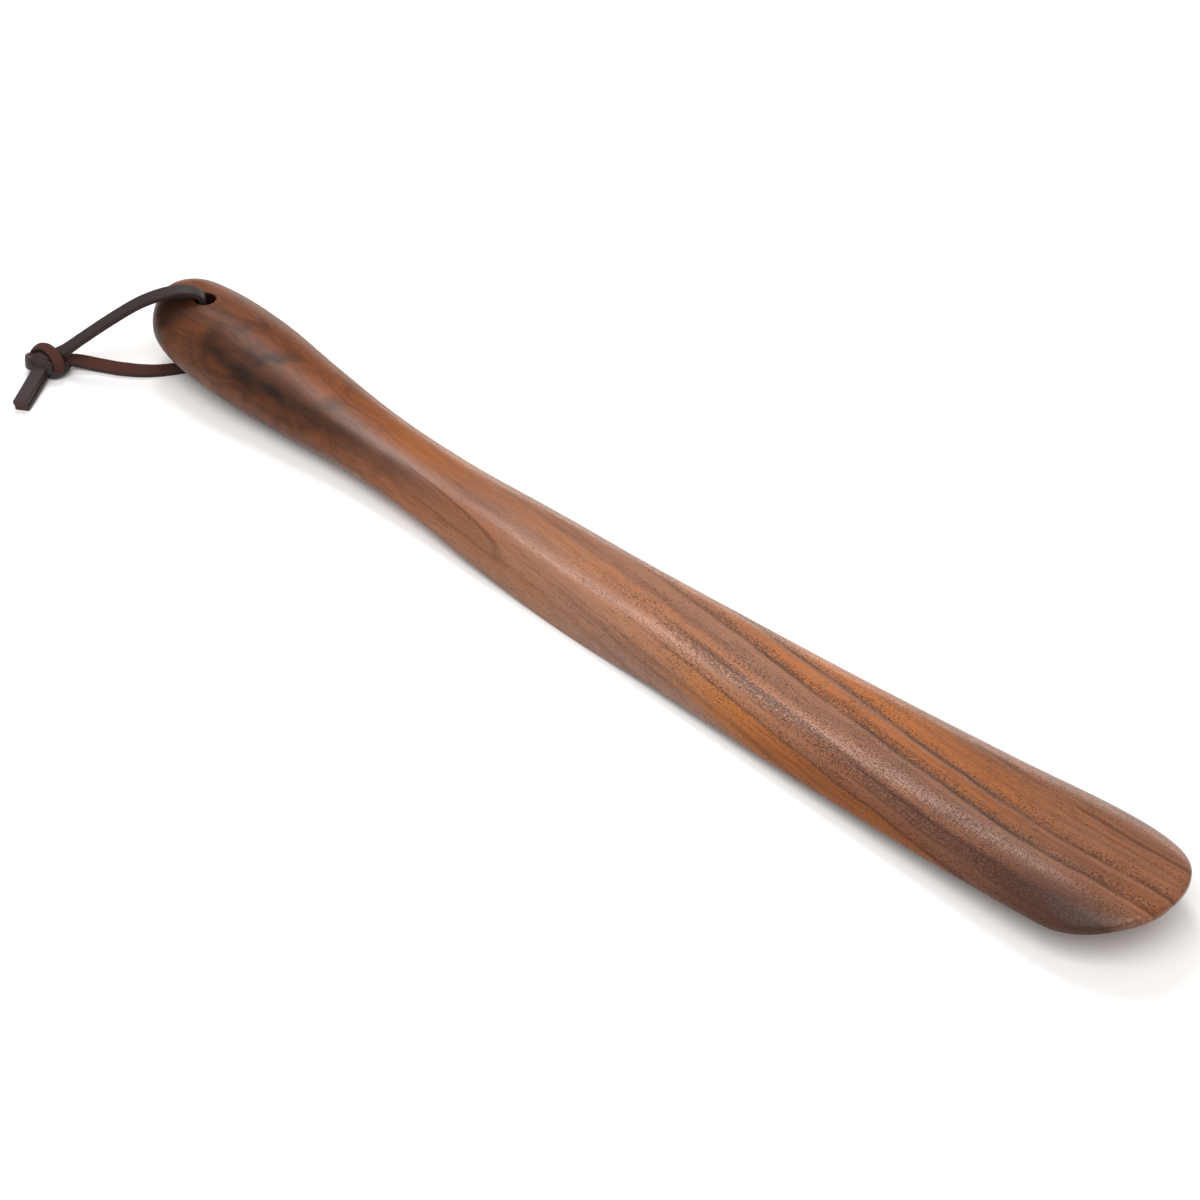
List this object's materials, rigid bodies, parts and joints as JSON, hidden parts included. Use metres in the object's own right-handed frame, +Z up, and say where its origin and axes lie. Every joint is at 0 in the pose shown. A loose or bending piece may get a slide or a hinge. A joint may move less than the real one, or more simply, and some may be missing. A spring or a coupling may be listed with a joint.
{
  "type": "long shoehorn",
  "caption": "Long carved wooden shoehorn with a rounded handle, a slim neck, an arched blade and a knotted leather hanging lace through the handle.",
  "frame": {"origin": "bottom centre of the wooden body's box: half way along it, on its plane of symmetry, at the height of the surface it lies on", "axes": "+X from the handle end to the blade tip, +Y across the blade, +Z up, out of the rounded back of the blade"},
  "size_m": [0.4057, 0.0821, 0.0294],
  "materials": {
    "walnut": "oiled satin",
    "lace_leather": "smooth, satin"
  },
  "bodies": {
    "shoehorn": {"walnut_body": "walnut"},
    "lace": {"lace_loop": "lace_leather", "lace_knot_core": "lace_leather", "lace_knot_wrap": "lace_leather", "lace_tail_upper": "lace_leather", "lace_tail_lower": "lace_leather"}
  },
  "joints": [
    {"name": "lace_swing", "type": "hinge", "parent": "shoehorn", "child": "lace", "pos_m": [-0.173, 0, 0.013], "axis": [0, 0, 1], "range_deg": [-120, 40]}
  ]
}
